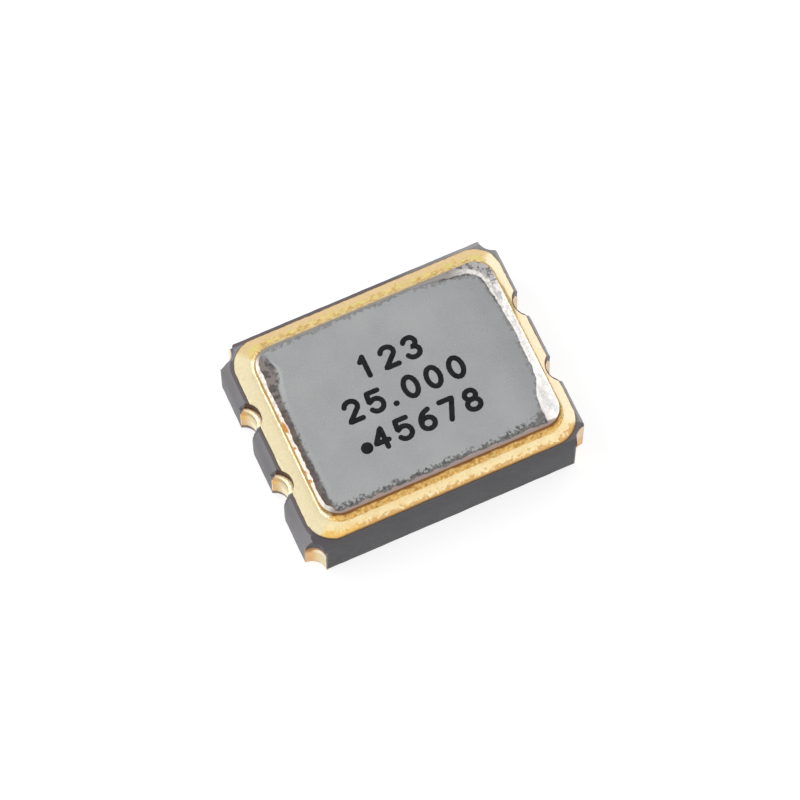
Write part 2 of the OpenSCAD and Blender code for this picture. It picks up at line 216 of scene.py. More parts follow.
def join(value, plug):
    # links a socket, or writes a plain value
    if isinstance(value, bpy.types.NodeSocket):
        current["tree"].links.new(value, plug)
    elif isinstance(value, tuple) and plug.type == "RGBA":
        plug.default_value = (*value, 1)
    else:
        plug.default_value = value


def addNode(kind, plugs=None, **settings):
    node = current["tree"].nodes.new(kind)
    for name, value in settings.items():
        setattr(node, name, value)
    for key, value in (plugs or {}).items():
        join(value, node.inputs[key])
    return node


def calc(operation, *values):
    return addNode("ShaderNodeMath", dict(enumerate(values)), operation=operation).outputs[0]


def minus(first, second):
    return calc("SUBTRACT", first, second)


def absolute(value):
    return calc("ABSOLUTE", value)


def times(*values):
    product = values[0]
    for value in values[1:]:
        product = calc("MULTIPLY", product, value)
    return product


def scaled(value, amount, base):
    # the value times the amount, on top of the base
    return calc("MULTIPLY_ADD", value, amount, base)


def hypotenuse(*legs):
    squares = [calc("POWER", leg, 2.0) for leg in legs]
    return calc("SQRT", calc("ADD", *squares))


def fade(value, start, end, low=0.0, high=1.0):
    # runs smoothly from low at start to high at end
    plugs = {"Value": value, "From Min": start, "From Max": end, "To Min": low, "To Max": high}
    return addNode("ShaderNodeMapRange", plugs, interpolation_type="SMOOTHSTEP").outputs[0]


def between(value, low, high):
    return fade(value, 0.0, 1.0, low, high)


def blendColour(share, first, second):
    plugs = {0: share, 6: first, 7: second}
    return addNode("ShaderNodeMix", plugs, data_type="RGBA").outputs[2]


def mixTones(share, first, second):
    return blendColour(share, current["tones"][first], current["tones"][second])


def cover(colour, *layers):
    # lays tones of the material's dictionary over a colour, each as far as its shares multiplied
    for tone, *shares in layers:
        colour = blendColour(times(*shares), colour, current["tones"][tone])
    return colour


def darken(colour, share, brightness):
    # multiplies a colour by a brightness where the share is 1
    shade = blendColour(share, (1.0, 1.0, 1.0), (brightness,) * 3)
    plugs = {0: 1.0, 6: colour, 7: shade}
    return addNode("ShaderNodeMix", plugs, data_type="RGBA", blend_type="MULTIPLY").outputs[2]


def startGroup(name, given, results):
    group = current["tree"] = bpy.data.node_groups.new(name, "ShaderNodeTree")
    for plugName, value in given.items():
        plug = group.interface.new_socket(name=plugName, in_out="INPUT", socket_type="NodeSocketFloat")
        plug.default_value = value
    for plugName in results:
        group.interface.new_socket(name=plugName, in_out="OUTPUT", socket_type="NodeSocketFloat")
    return addNode("NodeGroupInput").outputs, addNode("NodeGroupOutput").inputs


def placeGroup(name, **plugs):
    return addNode("ShaderNodeGroup", plugs, node_tree=bpy.data.node_groups[name]).outputs


def placeGrain(patchesPerMm, grainsPerMm, stretchY=1.0):
    placed = placeGroup("surfaceGrain", patchesPerMm=patchesPerMm, grainsPerMm=grainsPerMm, stretchY=stretchY)
    return placed["patches"], placed["grain"]


def placeCrystals(grainsPerMm):
    placed = placeGroup("metalGrains", grainsPerMm=grainsPerMm)
    return placed["cell"], placed["dome"]


def placeStain(depth, width, spots):
    return placeGroup("spottedStain", depth=depth, width=width, spotsPerMm=spots)["cover"]


def placeGauge(outline):
    # the depth inside an outline and the masks of its four sides
    placed = placeGroup("outlineGauge", **outline)
    return [placed[name] for name in ("inside", *sideNames)]


def inMillimetres():
    # object coordinates of the piece, in millimetres
    place = addNode("ShaderNodeTexCoord").outputs["Object"]
    return addNode("ShaderNodeVectorMath", {0: place, 3: 1000.0}, operation="SCALE").outputs[0]


def splitAxes():
    return addNode("ShaderNodeSeparateXYZ", {0: inMillimetres()}).outputs


def splitFacing():
    # the three parts of the direction that the surface faces
    normal = addNode("ShaderNodeNewGeometry").outputs["Normal"]
    return addNode("ShaderNodeSeparateXYZ", {0: normal}).outputs


def startMaterial(name, tones=None):
    material = bpy.data.materials.new(name)
    material.use_nodes = True
    tree = material.node_tree
    current.update(tree=tree, shader=tree.nodes["Principled BSDF"], tones=tones)
    return material


def plugIn(**plugs):
    names = {"colour": "Base Color", "roughness": "Roughness", "metallic": "Metallic", "ior": "IOR",
             "specular": "Specular IOR Level", "transmission": "Transmission Weight"}
    for name, value in plugs.items():
        join(value, current["shader"].inputs[names[name]])


def addBump(height, strength, depth):
    plugs = {"Height": height, "Strength": strength, "Distance": depth * mm}
    join(addNode("ShaderNodeBump", plugs).outputs[0], current["shader"].inputs["Normal"])


# how far a point lies inside a round-cornered outline, in millimetres, and which side is nearest, as masks
sideNames = ("front", "back", "left", "right")
outline = {"centreX": 0.0, "centreY": 0.0, "length": 1.0, "width": 1.0, "radius": 0.1}
given, result = startGroup("outlineGauge", outline, ["inside", *sideNames])
x, y, z = splitAxes()
across = [minus(x, given["centreX"]), minus(y, given["centreY"])]
halves = [times(given["length"], 0.5), times(given["width"], 0.5)]
reaches = [minus(absolute(gap), minus(half, given["radius"])) for gap, half in zip(across, halves)]
roundPart = hypotenuse(*[calc("MAXIMUM", reach, 0.0) for reach in reaches])
flatPart = calc("MINIMUM", calc("MAXIMUM", *reaches), 0.0)
join(minus(given["radius"], calc("ADD", roundPart, flatPart)), result["inside"])
past = [minus(absolute(gap), half) for gap, half in zip(across, halves)]
ends = fade(minus(*past), -0.06, 0.06)
longs = minus(1.0, ends)
for side, share, gap, sign in (
    ("front", longs, across[1], -1.0),
    ("back", longs, across[1], 1.0),
    ("left", ends, across[0], -1.0),
    ("right", ends, across[0], 1.0),
):
    join(times(share, fade(times(gap, sign), -0.02, 0.02)), result[side])

# soft patches and fine grain, each from 0 to 1
sizes = {"patchesPerMm": 3.0, "grainsPerMm": 60.0, "stretchY": 1.0}
given, result = startGroup("surfaceGrain", sizes, ["patches", "grain"])
stretch = addNode("ShaderNodeCombineXYZ", {0: 1.0, 1: given["stretchY"], 2: 1.0})
plugs = {0: inMillimetres(), 1: stretch.outputs[0]}
place = addNode("ShaderNodeVectorMath", plugs, operation="MULTIPLY").outputs[0]
for name, amount, detail in (("patches", "patchesPerMm", 3.0), ("grain", "grainsPerMm", 2.0)):
    plugs = {"Vector": place, "Scale": given[amount], "Detail": detail, "Roughness": 0.55}
    join(fade(addNode("ShaderNodeTexNoise", plugs).outputs["Fac"], 0.3, 0.7), result[name])

# crystal grains of cast or plated metal
given, result = startGroup("metalGrains", {"grainsPerMm": 30.0}, ["cell", "dome"])
cells = addNode("ShaderNodeTexVoronoi", {"Vector": inMillimetres(), "Scale": given["grainsPerMm"]}).outputs
join(addNode("ShaderNodeSeparateColor", {0: cells["Color"]}).outputs[0], result["cell"])
join(minus(1.0, cells["Distance"]), result["dome"])

# a stain that is whole at depth 0 and breaks up into spots towards its width
breakUp = {"depth": 0.0, "width": 0.1, "spotsPerMm": 25.0}
given, result = startGroup("spottedStain", breakUp, ["cover"])
plugs = {"Vector": inMillimetres(), "Scale": given["spotsPerMm"], "Detail": 3.0, "Roughness": 0.6}
spots = fade(addNode("ShaderNodeTexNoise", plugs).outputs["Fac"], 0.3, 0.7, 0.05, 1.0)
share = calc("DIVIDE", given["depth"], given["width"])
join(times(fade(minus(spots, share), -0.22, 0.22), fade(share, -0.15, 0.02)), result["cover"])
print("shared effects ready")


view = {
    "turn": -24.5,  # degrees round the object, from straight in front
    "rise": 68.67,  # degrees above the floor
    "lens": 200,
    "lookAt": (-0.02, 0.0, 0.47),
    "width": 8.38,  # what the picture spans at the object, in millimetres
    "clipStart": 0.001,
}
studio = {
    "ambient": 0.45,
    "backdrop": 1.0,
    "floorSize": 600,
    "floorGap": 0.003,  # keeps the underside off the floor
    "floorShade": 0.32,
    "floorGlow": 0.8,  # lifts the bare floor to white where it is seen directly or mirrored
    "lamps": {
        # name: (degrees round, degrees up, distance mm, size mm, brightness)
        "leftSoftbox": (-120, 42, 90, 80, 2.0),
        "rightSoftbox": (110, 35, 90, 80, 1.3),
    },
}


def aim(around, up):
    # the direction from the object to a camera or lamp, and the turn that makes it look back
    around, up = math.radians(around), math.radians(up)
    towards = Vector((math.sin(around) * math.cos(up), -math.cos(around) * math.cos(up), math.sin(up)))
    return towards, towards.to_track_quat("Z", "Y").to_euler()


def seenDirectly():
    # 1 for rays from the camera, from mirrors and through glass
    rays = addNode("ShaderNodeLightPath").outputs
    direct = calc("MAXIMUM", rays["Is Camera Ray"], rays["Is Glossy Ray"])
    return calc("MAXIMUM", direct, rays["Is Transmission Ray"])


towards, turned = aim(view["turn"], view["rise"])
leaveEditing()
bpy.ops.object.camera_add()
camera = bpy.context.object
camera.data.lens = view["lens"]
reach = towards * view["width"] * view["lens"] / camera.data.sensor_width
camera.location = (Vector(view["lookAt"]) + reach) * mm
camera.rotation_euler = turned
camera.data.clip_start = view["clipStart"]
bpy.context.scene.camera = camera
bpy.context.scene.view_settings.view_transform = "Standard"

world = bpy.data.worlds.new("studioWorld")
bpy.context.scene.world = world
world.use_nodes = True
current["tree"] = world.node_tree
world.node_tree.nodes.clear()
plugs = {0: seenDirectly()}
for slot, name in enumerate(("ambient", "backdrop"), 1):
    light = {"Color": (1.0, 1.0, 1.0), "Strength": studio[name]}
    plugs[slot] = addNode("ShaderNodeBackground", light).outputs[0]
both = addNode("ShaderNodeMixShader", plugs)
addNode("ShaderNodeOutputWorld", {"Surface": both.outputs[0]})

leaveEditing()
bpy.ops.mesh.primitive_plane_add(size=studio["floorSize"] * mm, location=(0, 0, -studio["floorGap"] * mm))
floor = bpy.context.object
floor.name = "floor"
floorPaint = startMaterial("floorPaint")
plugIn(colour=(studio["floorShade"],) * 3, roughness=1.0, specular=0.0)
glow = addNode("ShaderNodeEmission", {"Strength": times(seenDirectly(), studio["floorGlow"])})
both = addNode("ShaderNodeAddShader", {0: current["shader"].outputs[0], 1: glow.outputs[0]})
join(both.outputs[0], floorPaint.node_tree.nodes["Material Output"].inputs["Surface"])
wear(floor, floorPaint)

for name, (around, up, distance, size, brightness) in studio["lamps"].items():
    towards, turned = aim(around, up)
    leaveEditing()
    bpy.ops.object.light_add(type="AREA", location=towards * distance * mm)
    lamp = bpy.context.object
    lamp.name = name
    lamp.rotation_euler = turned
    lamp.data.size = size * mm
    lamp.data.energy = brightness * math.pi * (size * mm) ** 2
print("camera, floor and light set")


body = {
    "bevels": {"left": 0.065, "right": 0.025, "front": 0.035, "back": 0.025},  # how far each side leans in
    "bevelHeight": 0.1,
    "ragged": 0.004,  # how far the snapped sides wander
    "wallCuts": 70,
    "notchPitch": 0.81,
    "notchOut": 0.045,
    "notchRadius": 0.157,
    "notchStep": 0.03,
    "notchBare": 0.06,
    "chip": 0.04,  # how far the plating's top corners are broken back, from chipFoot upwards
    "chipFoot": 0.4,
    "cornerRadius": 0.17,
    "cornerLips": (0.035, -0.015, -0.015, -0.015),  # how far the top layer reaches over each corner's plating
    "topShift": (0.025, -0.01),  # how far the top layer is off register
    "plating": 0.015,
    "ledge": 0.515,
    "cavity": (2.4, 1.69),
    "cavityRadius": 0.12,
    "shelfHoleX": 0.06,
    "shelfHole": (1.72, 1.44),
    "pocket": (1.2, 0.9),
    "pocketFloor": 0.175,
    "bondFloor": 0.305,
}
over = 0.1  # how far a cutter stands out of what it cuts
sliver = 0.0005  # keeps two faces from lying exactly in one plane
bodyLow, bodyHigh = cadBox("ceramic_base")
signs = [(-1, -1), (1, -1), (1, 1), (-1, 1)]  # the corners in the order of the terminals
sideNotches = [(x * (bodyHigh.x + body["notchOut"]), y * body["notchPitch"] / 2) for x, y in signs]
cornerNotches = [(x * bodyHigh.x, y * bodyHigh.y) for x, y in signs]


def addTopCutters(bottom, top):
    # the notches of the top layer, a little off register with the ones below
    holes = [(spot, body["notchRadius"] + body["notchStep"]) for spot in sideNotches]
    holes += [(spot, body["cornerRadius"] - lip) for spot, lip in zip(cornerNotches, body["cornerLips"])]
    shiftX, shiftY = body["topShift"]
    return joinPieces([addPost((x + shiftX, y + shiftY), radius, bottom, top) for (x, y), radius in holes])


def cutAcross(piece, height):
    pick(piece, "FACE", everyFace)
    bpy.ops.mesh.bisect(plane_co=(0, 0, height), plane_no=(0, 0, 1), threshold=0.00001)


def addEnvelope(name, bottom):
    # the body's outer form with its bevels, before anything is cut from it
    piece = addBlock(name, (bodyLow.x, bodyLow.y, bottom), bodyHigh)
    cutAcross(piece, bodyHigh.z - body["bevelHeight"])
    for side, axis, sign in (("left", 0, -1), ("right", 0, 1), ("front", 1, -1), ("back", 1, 1)):
        pick(piece, "VERT", lambda co: near(co.z, bodyHigh.z) and co[axis] * sign > 0)
        inward = [0, 0, 0]
        inward[axis] = -sign * body["bevels"][side]
        movePicked(inward)
    leaveEditing()
    return piece


# the walls are divided finely, and the top and bottom stay one face each
ceramicBase = addEnvelope("ceramicBase", bodyLow.z)
pick(ceramicBase, "FACE", lambda centre, normal: abs(normal.z) > 0.9)
bpy.ops.mesh.delete(type="ONLY_FACE")
pick(ceramicBase, "EDGE", lambda a, b: near(a.z, b.z))
bpy.ops.mesh.subdivide(number_cuts=body["wallCuts"])
for height in (bodyHigh.z, bodyLow.z):
    pick(ceramicBase, "EDGE", lambda a, b: near(a.z, height) and near(b.z, height))
    bpy.ops.mesh.edge_face_add()
leaveEditing()
for index, axis in enumerate("XY"):
    reach = bodyHigh[index] - body["bevels"]["left"] * 1.1
    groupCorners(ceramicBase, "snapped" + axis, lambda co: abs(co[index]) > reach)
    roughen(ceramicBase, addNoise("chips" + axis, 0.12, 3), axis, body["ragged"], "snapped" + axis)
cutters = []
for spots, radius in ((sideNotches, body["notchRadius"]), (cornerNotches, body["cornerRadius"])):
    for spot in spots:
        cutters.append(addPost(spot, radius + body["plating"], bodyLow.z - over, body["ledge"]))
combine(ceramicBase, joinPieces(cutters))
combine(ceramicBase, addTopCutters(body["ledge"] - sliver, bodyHigh.z + over))
for middle, size, bottom, top in (
    (0, body["cavity"], body["ledge"], bodyHigh.z + over),
    (body["shelfHoleX"], body["shelfHole"], body["bondFloor"], body["ledge"] + 0.01),
    (body["shelfHoleX"], body["pocket"], body["pocketFloor"], body["bondFloor"] + 0.01),
):
    combine(ceramicBase, addRoundedBlock("cutter", (middle, 0), *size, bottom, top, body["cavityRadius"]))
cleanMesh(ceramicBase, 0.0001)

band = {"radius": 0.3, "hole": (2.46, 1.75), "holeRadius": 0.12, "roll": 0.007, "ragged": 0.005, "cuts": 90}
bandLow, bandHigh = cadBox("seal_band")
bandOutline = outlineOf(bandLow, bandHigh, band["radius"])
bandCentre = (bandOutline["centreX"], bandOutline["centreY"])


def addBandHole():
    bottom, top = bandLow.z - over, bandHigh.z + over
    return addRoundedBlock("cutter", (0, 0), *band["hole"], bottom, top, band["holeRadius"])


# how far a point lies outside the top layer's nearest side notch and corner notch
given, result = startGroup("notchGaps", {}, ["side", "corner"])
x, y, z = splitAxes()
frontLeft = times(fade(x, 0.1, -0.1), fade(y, 0.1, -0.1))
lip = between(frontLeft, body["cornerLips"][1], body["cornerLips"][0])
sideCentre = (bodyHigh.x + body["notchOut"], body["notchPitch"] / 2)
for name, centre, radius in (
    ("side", sideCentre, body["notchRadius"] + body["notchStep"]),
    ("corner", (bodyHigh.x, bodyHigh.y), minus(body["cornerRadius"], lip)),
):
    legs = []
    for axis, shift, middle in zip((x, y), body["topShift"], centre):
        legs.append(minus(absolute(minus(axis, shift)), middle))
    join(minus(hypotenuse(*legs), radius), result[name])

ceramicFinish = {
    "dark": (0.185, 0.178, 0.192),
    "light": (0.238, 0.229, 0.243),
    "longSidesShade": 0.56,  # the brightness that the long sides keep, a painted shade, as they get less light than the ends and the top
    "speck": (0.42, 0.41, 0.42),
    "edge": (0.34, 0.33, 0.345),
    "shadowLine": (0.125, 0.105, 0.105),
    "cornerShadow": (0.055, 0.048, 0.058),
    "backEdge": (0.09, 0.06, 0.065),
    "wallEndLit": (0.34, 0.31, 0.36),
    "rightEdgeHighlight": (0.42, 0.41, 0.42),
    "notchShadeBrown": (0.085, 0.055, 0.032),
    "notchShadeRed": (0.10, 0.018, 0.008),
    "shadedCornerWall": (0.05, 0.05, 0.065),
    "cornerShadowLine": (0.11, 0.04, 0.015),
}
blackCeramic = startMaterial("blackCeramic", ceramicFinish)
patches, grain = placeGrain(2.6, 42.0)
cell, dome = placeCrystals(36.0)
x, y, z = splitAxes()
facing = splitFacing()
outward = absolute(x)
colour = mixTones(patches, "dark", "light")
colour = cover(
    colour,
    ("edge", grain, 0.22),
    ("speck", fade(cell, 0.93, 0.97), fade(dome, 0.75, 0.95), 0.6),
    # painted highlight: the upper part of the walls, towards the top bevel, is lighter
    ("edge", fade(z, bodyHigh.z - body["bevelHeight"] * 1.6, bodyHigh.z), 0.3),
)
# painted shade: the front and back walls are darkened
longSide = times(fade(absolute(facing[1]), 0.75, 0.97), fade(absolute(y), 1.15, 1.2))
colour = darken(colour, longSide, ceramicFinish["longSidesShade"])
# the dark line at the seal band's foot, wider along the left and at the front left corner
reach = scaled(fade(x, -1.44, -1.5), -0.035, -0.014)
reach = scaled(times(fade(y, -1.05, -1.12), fade(x, -1.53, -1.5)), -0.3, reach)
line = fade(minus(placeGauge(bandOutline)[0], reach), 0.0, 0.01)
line = times(line, fade(facing[2], 0.7, 0.95))
# the top edge along the back, and a painted highlight along the right and at the back's right end
behind = times(fade(y, 1.175, 1.195), fade(z, 0.54, 0.59))
rightEdgeHighlight = times(fade(x, 1.545, 1.56), fade(facing[2], 0.1, 0.3))
rightEdgeHighlight = calc("MAXIMUM", rightEdgeHighlight, times(behind, fade(x, 0.9, 1.3)))
# the walls of the top layer's notches, painted as shade: brown and red at the side notches, and metallic
# there to mirror the gold, dark at the front corners
gaps = placeGroup("notchGaps")
aboveLedge = fade(z, 0.5, 0.52)
sideWall = times(fade(gaps["side"], 0.008, 0.0), aboveLedge, fade(outward, 1.555, 1.535))
shadedCornerWall = times(fade(gaps["corner"], 0.008, 0.0), aboveLedge, fade(y, 0.1, -0.1))
colour = cover(
    colour,
    ("shadowLine", line, 0.9),
    ("cornerShadow", fade(y, -0.98, -1.1), fade(x, -1.15, -1.35), line, 0.8),
    # painted highlight: walls that face left are lighter towards the front
    ("edge", fade(facing[0], -0.75, -0.95), fade(y, -0.7, -1.15), 0.45),
    ("backEdge", behind, fade(x, 0.9, 0.3), 0.75),
    ("rightEdgeHighlight", rightEdgeHighlight, 0.6),
    # painted light: ceramic at the ends that faces the front is lighter
    ("wallEndLit", fade(outward, 1.545, 1.565), fade(facing[1], -0.2, -0.6), fade(absolute(y), 1.0, 0.95)),
    # painted shade on the side notches' walls, tinted by the gold they mirror
    ("notchShadeBrown", sideWall, 0.95),
    ("notchShadeRed", sideWall, fade(z, 0.59, 0.56), 0.9),
    # painted shade on the front corners' notch walls, with a painted shadow line at their foot
    ("shadedCornerWall", shadedCornerWall, 0.8),
    ("cornerShadowLine", shadedCornerWall, fade(z, 0.56, 0.54)),
)
plugIn(colour=colour, metallic=sideWall, roughness=between(grain, 0.5, 0.66))
addBump(grain, 0.5, 0.0015)
finishPiece(ceramicBase, blackCeramic, "ceramic_base")
wear(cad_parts["crystal_bump"], blackCeramic)


pads = {"length": 0.85, "width": 0.6, "inset": 0.05, "chamfer": 0.2}


def addLining(name, spot, radius, step, bottom):
    # a profile spun round the notch: the plated wall, with a sloped crescent on the ledge if there is a step
    skin, ledge = body["plating"], body["ledge"]
    leaveEditing()
    middle = (radius + skin / 2, 0, (bottom + ledge) / 2)
    bpy.ops.mesh.primitive_plane_add(size=1, location=middle, rotation=(math.pi / 2, 0, 0))
    piece = bpy.context.object
    piece.name = name
    piece.scale = (skin, ledge - bottom, 1)
    applyPlace()
    if step:
        pick(piece, "EDGE", lambda a, b: near(a.z, ledge) and near(b.z, ledge))
        bpy.ops.mesh.extrude_region_move(TRANSFORM_OT_translate={"value": (0, 0, skin)})
        back = radius + skin
        pick(piece, "EDGE", lambda a, b: near(a.x + b.x, 2 * back) and min(a.z, b.z) > ledge - 0.001)
        bpy.ops.mesh.extrude_region_move(TRANSFORM_OT_translate={"value": (step - skin, 0, 0)})
        pick(piece, "VERT", lambda co: near(co.x, radius) and co.z > ledge)
        movePicked((0, 0, -0.6 * skin))
        bpy.ops.mesh.select_all(action="SELECT")
        bpy.ops.mesh.dissolve_faces()
    pick(piece, "FACE", everyFace)
    bpy.ops.mesh.delete(type="ONLY_FACE")
    bpy.ops.mesh.select_all(action="SELECT")
    bpy.ops.mesh.spin(steps=128, angle=2 * math.pi, center=(0, 0, 0), axis=(0, 0, 1))
    cleanMesh(piece)
    pick(piece, "VERT", lambda co: math.hypot(co.x, co.y) > radius + skin + 0.005)
    movePicked((*body["topShift"], 0))
    leaveEditing()
    narrowest = radius + skin + 0.001
    for corner in piece.data.vertices:
        # the crescent stays at least as wide as the plating where the top layer reaches over it
        distance = math.hypot(corner.co.x, corner.co.y)
        if corner.select and distance < narrowest:
            corner.co.xy *= narrowest / distance
    pick(piece, "VERT", lambda co: True)
    movePicked((*spot, 0))
    leaveEditing()
    limit = addEnvelope("limit", bottom - over)
    if step:
        cutAcross(limit, body["chipFoot"])
        pick(limit, "VERT", lambda co: co.z > body["chipFoot"] + 0.01)
        narrower = 1 - body["chip"] / bodyHigh.x
        bpy.ops.transform.resize(value=(narrower, 1, 1), center_override=(0, 0, 0))
        leaveEditing()
    combine(piece, limit, "INTERSECT")
    return piece


goldFinish = {
    "orange": (0.74, 0.32, 0.09),
    "golden": (0.82, 0.46, 0.06),
    "pink": (0.68, 0.42, 0.26),
    "tan": (0.52, 0.43, 0.20),
    "cream": (0.80, 0.72, 0.46),
    "white": (0.98, 0.93, 0.78),
    "litCrest": (0.76, 0.68, 0.46),
    "deepCrest": (0.60, 0.49, 0.36),
    "glow": (1.0, 0.97, 0.66),
    "farSide": (0.78, 0.60, 0.42),
    "backPale": (0.92, 0.84, 0.72),
    "blush": (0.77, 0.44, 0.26),
    "amberShade": (0.37, 0.12, 0.025),
    "overhangShadow": (0.26, 0.08, 0.018),
    "footShade": (0.15, 0.075, 0.045),
    "bare": (0.20, 0.19, 0.20),
    "foot": 0.16,  # the painted shade at the lower end of a side notch's plating reaches up to here
    "brokenFrom": 0.085,  # past this distance to the front of a side notch's centre the plating has come off
}
goldPlate = startMaterial("goldPlate", goldFinish)
patches, grain = placeGrain(6.0, 50.0)
x, y, z = splitAxes()
facing = splitFacing()
outward = absolute(x)
wavy = scaled(patches, 0.03, z)
endOn = fade(absolute(facing[0]), 0.35, 0.9)  # how far a wall faces along the body
atCorner = fade(absolute(y), 0.75, 0.8)
atSide = minus(1.0, atCorner)
leftCorner = times(atCorner, fade(x, 0.1, -0.1))
frontLeft = times(leftCorner, fade(y, 0.1, -0.1))
backLeft = times(leftCorner, fade(y, -0.1, 0.1))
# three heights of the wall, each different where it faces along the body: the change with facing is painted
# light and shade, and glow is a painted highlight
low = mixTones(patches, "pink", "golden")
low = cover(low, ("cream", endOn), ("glow", fade(absolute(facing[0]), 0.7, 0.95), atSide))
middle = mixTones(endOn, "golden", "cream")
high = mixTones(endOn, "orange", "tan")
colour = blendColour(fade(wavy, 0.26, 0.36), low, middle)
colour = blendColour(times(fade(wavy, 0.41, 0.46), atSide), colour, high)
colour = cover(
    colour,
    # painted shade: front-facing walls at the front left corner, as a dark reflection
    ("amberShade", fade(absolute(facing[1]), 0.8, 0.97), fade(wavy, 0.27, 0.36), frontLeft, 0.9),
    # painted highlight on the corner walls that face along the body
    ("white", endOn, atCorner, fade(wavy, 0.29, 0.36)),
)
# the crescent on the ledge, painted pale as a highlight of its upward face, warmer at its outer rim and
# deeper further in
litCrest = mixTones(fade(outward, 1.58, 1.53), "blush", "litCrest")
litCrest = cover(litCrest, ("deepCrest", fade(outward, 1.5, 1.45)))
colour = blendColour(fade(z, 0.516, 0.519), colour, litCrest)
# where the plating has come off: the front edge of the side notches and the corners' outer edges
inPitch = calc("FLOORED_MODULO", calc("ADD", y, body["notchPitch"]), body["notchPitch"])
inPitch = minus(inPitch, body["notchPitch"] / 2)
broken = times(fade(inPitch, -goldFinish["brokenFrom"], -goldFinish["brokenFrom"] - 0.015), atSide)
beyond = [minus(absolute(axis), far) for axis, far in zip((x, y), bodyHigh)]
edgeOn = times(fade(calc("MAXIMUM", *beyond), -0.003, -0.001), fade(z, 0.02, 0.03))
broken = calc("MAXIMUM", broken, times(edgeOn, atCorner))
colour = cover(
    colour,
    # painted shadow under the top layer's overhang at the front left corner
    ("overhangShadow", fade(minus(z, scaled(endOn, 0.06, 0.33)), 0.0, 0.02), frontLeft, 0.85),
    ("golden", grain, 0.2),
    # painted shade at the lower end of the side notches' plating
    ("footShade", fade(wavy, goldFinish["foot"], goldFinish["foot"] - 0.03), atSide, 0.9),
    # painted highlight on the back left corner's plating
    ("backPale", backLeft, fade(wavy, 0.15, 0.42, 0.0, 0.75)),
    ("farSide", fade(x, 1.4, 1.45), fade(z, 0.2, 0.25), 0.8),
    ("bare", broken),
)
plugIn(colour=colour, metallic=minus(1.0, broken), roughness=between(grain, 0.28, 0.46))
addBump(grain, 0.4, 0.0015)

for number, spot in enumerate(sideNotches, 1):
    bottom = bodyLow.z + body["notchBare"]
    contact = addLining("testContact" + str(number), spot, body["notchRadius"], body["notchStep"], bottom)
    finishPiece(contact, goldPlate, "test_contact_" + str(number))

skin = body["plating"]
for number, (spot, sign) in enumerate(zip(cornerNotches, signs), 1):
    outer = [way * (edge - pads["inset"]) for way, edge in zip(sign, bodyHigh)]
    inner = [outer[0] - sign[0] * pads["length"], outer[1] - sign[1] * pads["width"]]
    low = [min(a, b) for a, b in zip(outer, inner)]
    high = [max(a, b) for a, b in zip(outer, inner)]
    terminal = addBlock("terminal" + str(number), (*low, 0), (*high, skin))
    if number == 1:
        pick(terminal, "EDGE",
             lambda a, b: near(a.z + b.z, skin) and near(a.x, inner[0]) and near(a.y, inner[1]))
        bpy.ops.mesh.bevel(offset=pads["chamfer"], segments=1, affect="EDGES")
    combine(terminal, addPost(spot, body["cornerRadius"] + skin / 2, -over, over))
    combine(terminal, addLining("lining", spot, body["cornerRadius"], 0, sliver), "UNION")
    cleanMesh(terminal, 0.00002)
    finishPiece(terminal, goldPlate, "terminal_" + str(number))


sealBand = addRoundedBlock("sealBand", bandCentre, bandOutline["length"], bandOutline["width"],
                           bandLow.z, bandHigh.z - band["roll"], band["radius"], 32)
pick(sealBand, "FACE", topFace)
bpy.ops.mesh.inset(thickness=band["roll"])
movePicked((0, 0, band["roll"]))
pick(sealBand, "EDGE", longEdge)
bpy.ops.mesh.subdivide(number_cuts=band["cuts"])
combine(sealBand, addTopCutters(bandLow.z - over, bandHigh.z + over))
combine(sealBand, addBandHole())
fray = addNoise("fray", 0.05)
for axis in "XY":
    roughen(sealBand, fray, axis, band["ragged"])
cleanMesh(sealBand)

lidLow, lidHigh = cadBox("lid")
lidSize = (lidHigh.x - lidLow.x, lidHigh.y - lidLow.y)
lidRadius = 0.22
lidOutline = outlineOf(lidLow, lidHigh, lidRadius)
lidCentre = (lidOutline["centreX"], lidOutline["centreY"])

bandFinish = {
    "warm": (0.76, 0.57, 0.27),
    "pale": (0.79, 0.67, 0.39),
    "bright": (0.85, 0.77, 0.54),
    "olive": (0.42, 0.31, 0.12),
    "notchLine": (0.14, 0.085, 0.07),
    "leftPale": (0.71, 0.63, 0.42),
    "rightPale": (0.86, 0.74, 0.54),
    "backWarm": (0.61, 0.46, 0.22),
    "torn": (0.54, 0.28, 0.07),
    "rolled": (0.40, 0.22, 0.08),
    "spot": (0.52, 0.30, 0.07),
    "golden": (0.74, 0.48, 0.13),
    "backYellow": (0.66, 0.55, 0.20),
    "backPink": (0.68, 0.47, 0.29),
}
sealGold = startMaterial("sealGold", bandFinish)
patches, grain = placeGrain(7.0, 45.0)
waves = placeGrain(12.0, 30.0)[0]
x, y, z = splitAxes()
inside = placeGauge(bandOutline)[0]
underLid, front, back, left, right = placeGauge(lidOutline)
torn = placeStain(inside, 0.085, 22.0)
spotted = placeStain(times(underLid, -1.0), 0.13, 30.0)
seam = scaled(patches, 0.02, underLid)
colour = mixTones(patches, "warm", "pale")
